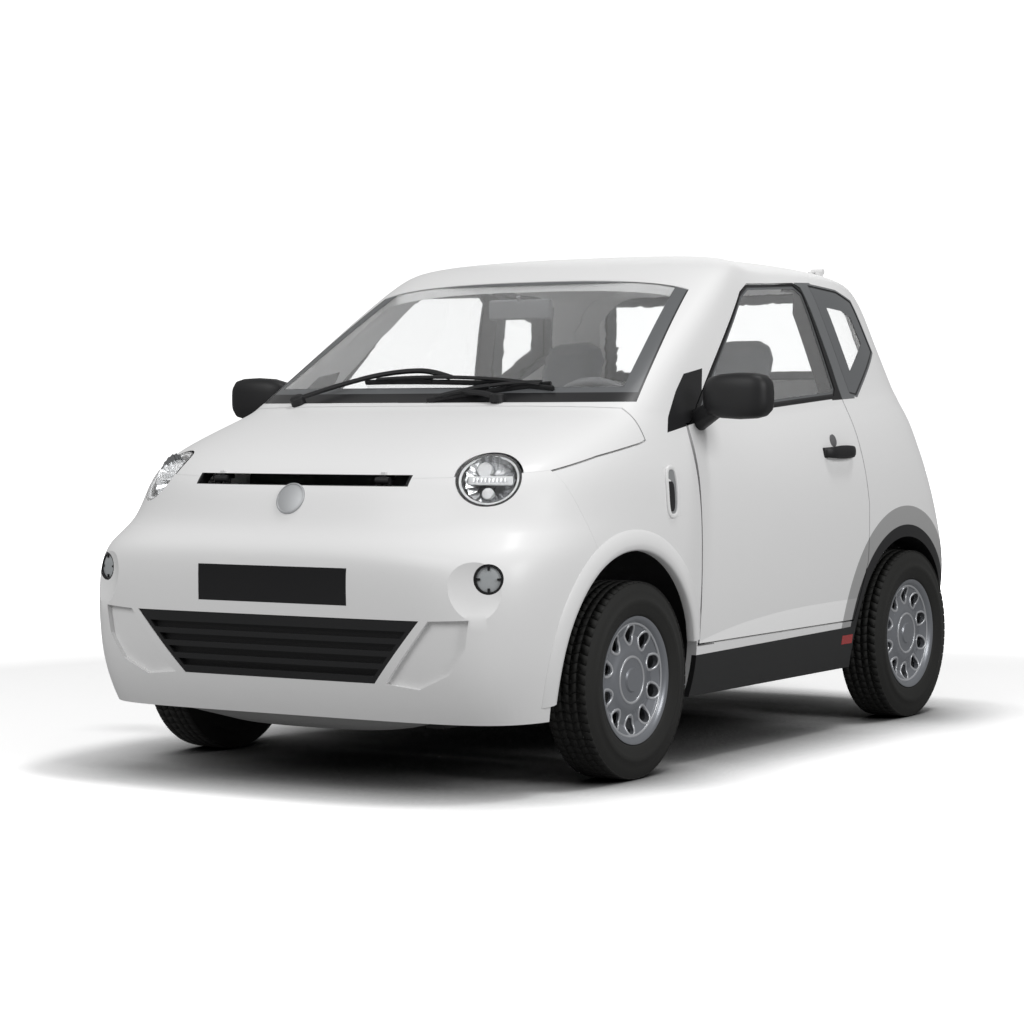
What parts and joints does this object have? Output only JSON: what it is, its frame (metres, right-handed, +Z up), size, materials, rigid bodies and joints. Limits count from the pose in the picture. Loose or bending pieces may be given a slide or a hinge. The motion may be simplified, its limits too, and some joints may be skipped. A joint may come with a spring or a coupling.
{
  "type": "microcar",
  "caption": "Small two-seat microcar with moulded panels, opening doors, bonnet and tailgate, steered front wheels and a hollow cabin.",
  "frame": {"origin": "on the ground below the middle of the car", "axes": "+Z up, +Y towards the tail (the nose points along -Y), +X to the car's left"},
  "size_m": [1.88, 2.7582, 1.4699],
  "materials": {
    "body_white": "gloss moulded panel",
    "dark_trim": "fine grain",
    "glass_grey": "tinted",
    "lamp_clear": "clear lens",
    "lamp_red": "red lens",
    "plate_blank": "gloss black panel",
    "steel_frame": "satin black",
    "engine": "cast",
    "wheel_silver": "silver",
    "tyre": "matt",
    "interior": "grained",
    "seat_cloth": "woven cloth"
  },
  "bodies": {
    "body": {"body_shell": "body_white", "front_bumper": "body_white", "rear_bumper": "body_white", "hinges_left": "steel_frame", "hinges_right": "steel_frame", "windscreen": "glass_grey", "quarter_glass": "glass_grey", "headlamps": "lamp_clear", "fog_lamps": "lamp_clear", "tail_lamps": "lamp_red", "grille": "dark_trim", "number_plate_front": "plate_blank", "sills": "dark_trim", "side_markers": "lamp_red", "arch_liners": "dark_trim", "chassis_rails": "steel_frame", "power_unit": "engine", "front_suspension": "steel_frame", "rear_axle": "steel_frame", "bulkhead": "dark_trim", "dashboard": "interior", "steering_column": "steel_frame", "seat_left": "seat_cloth", "seat_right": "seat_cloth", "seat_base_left": "interior", "seat_base_right": "interior", "side_scoops": "dark_trim", "wipers": "dark_trim", "rear_view_mirror": "dark_trim"},
    "door_left": {"door_left": "body_white", "door_glass_left": "glass_grey", "mirror_left": "dark_trim", "handle_left": "body_white"},
    "door_right": {"door_right": "body_white", "door_glass_right": "glass_grey", "mirror_right": "dark_trim", "handle_right": "body_white"},
    "bonnet": {"bonnet": "body_white"},
    "tailgate": {"tailgate": "body_white", "tailgate_glass": "glass_grey"},
    "knuckle_left": {"knuckle_left": "steel_frame"},
    "knuckle_right": {"knuckle_right": "steel_frame"},
    "wheel_front_left": {"wheel_front_left": "wheel_silver", "tyre_front_left": "tyre"},
    "wheel_front_right": {"wheel_front_right": "wheel_silver", "tyre_front_right": "tyre"},
    "wheel_rear_left": {"wheel_rear_left": "wheel_silver", "tyre_rear_left": "tyre"},
    "wheel_rear_right": {"wheel_rear_right": "wheel_silver", "tyre_rear_right": "tyre"},
    "steering_wheel": {"steering_wheel": "interior"}
  },
  "joints": [
    {"name": "steer_left", "type": "hinge", "parent": "body", "child": "knuckle_left", "pos_m": [0.57, -0.749, 0.2665], "axis": [0, 0, 1], "range_deg": [-30, 30]},
    {"name": "steer_right", "type": "hinge", "parent": "body", "child": "knuckle_right", "pos_m": [-0.57, -0.749, 0.2665], "axis": [0, 0, 1], "range_deg": [-30, 30]},
    {"name": "steering_wheel_turn", "type": "hinge", "parent": "body", "child": "steering_wheel", "pos_m": [0.31, -0.405, 0.7938], "axis": [0, 0.8988, 0.4384], "range_deg": [-450, 450]},
    {"name": "spin_front_left", "type": "hinge", "parent": "knuckle_left", "child": "wheel_front_left", "pos_m": [0.68, -0.749, 0.2665], "axis": [1, 0, 0], "continuous": true},
    {"name": "spin_front_right", "type": "hinge", "parent": "knuckle_right", "child": "wheel_front_right", "pos_m": [-0.68, -0.749, 0.2665], "axis": [1, 0, 0], "continuous": true},
    {"name": "spin_rear_left", "type": "hinge", "parent": "body", "child": "wheel_rear_left", "pos_m": [0.68, 0.971, 0.2665], "axis": [1, 0, 0], "continuous": true},
    {"name": "spin_rear_right", "type": "hinge", "parent": "body", "child": "wheel_rear_right", "pos_m": [-0.68, 0.971, 0.2665], "axis": [1, 0, 0], "continuous": true},
    {"name": "door_left_hinge", "type": "hinge", "parent": "body", "child": "door_left", "pos_m": [0.726, -0.36156, 0.588], "axis": [0, 0, -1], "range_deg": [0, 65]},
    {"name": "door_right_hinge", "type": "hinge", "parent": "body", "child": "door_right", "pos_m": [-0.726, -0.36156, 0.588], "axis": [0, 0, 1], "range_deg": [0, 65]},
    {"name": "bonnet_hinge", "type": "hinge", "parent": "body", "child": "bonnet", "pos_m": [0, -1.24531, 0.80924], "axis": [1, 0, 0], "range_deg": [0, 55]},
    {"name": "tailgate_hinge", "type": "hinge", "parent": "body", "child": "tailgate", "pos_m": [0, 1.0029, 1.43149], "axis": [1, 0, 0], "range_deg": [0, 80]}
  ],
  "couplings": [
    {"joint": "steer_right", "follows": "steer_left", "ratio": 1},
    {"joint": "steering_wheel_turn", "follows": "steer_left", "ratio": -15}
  ]
}
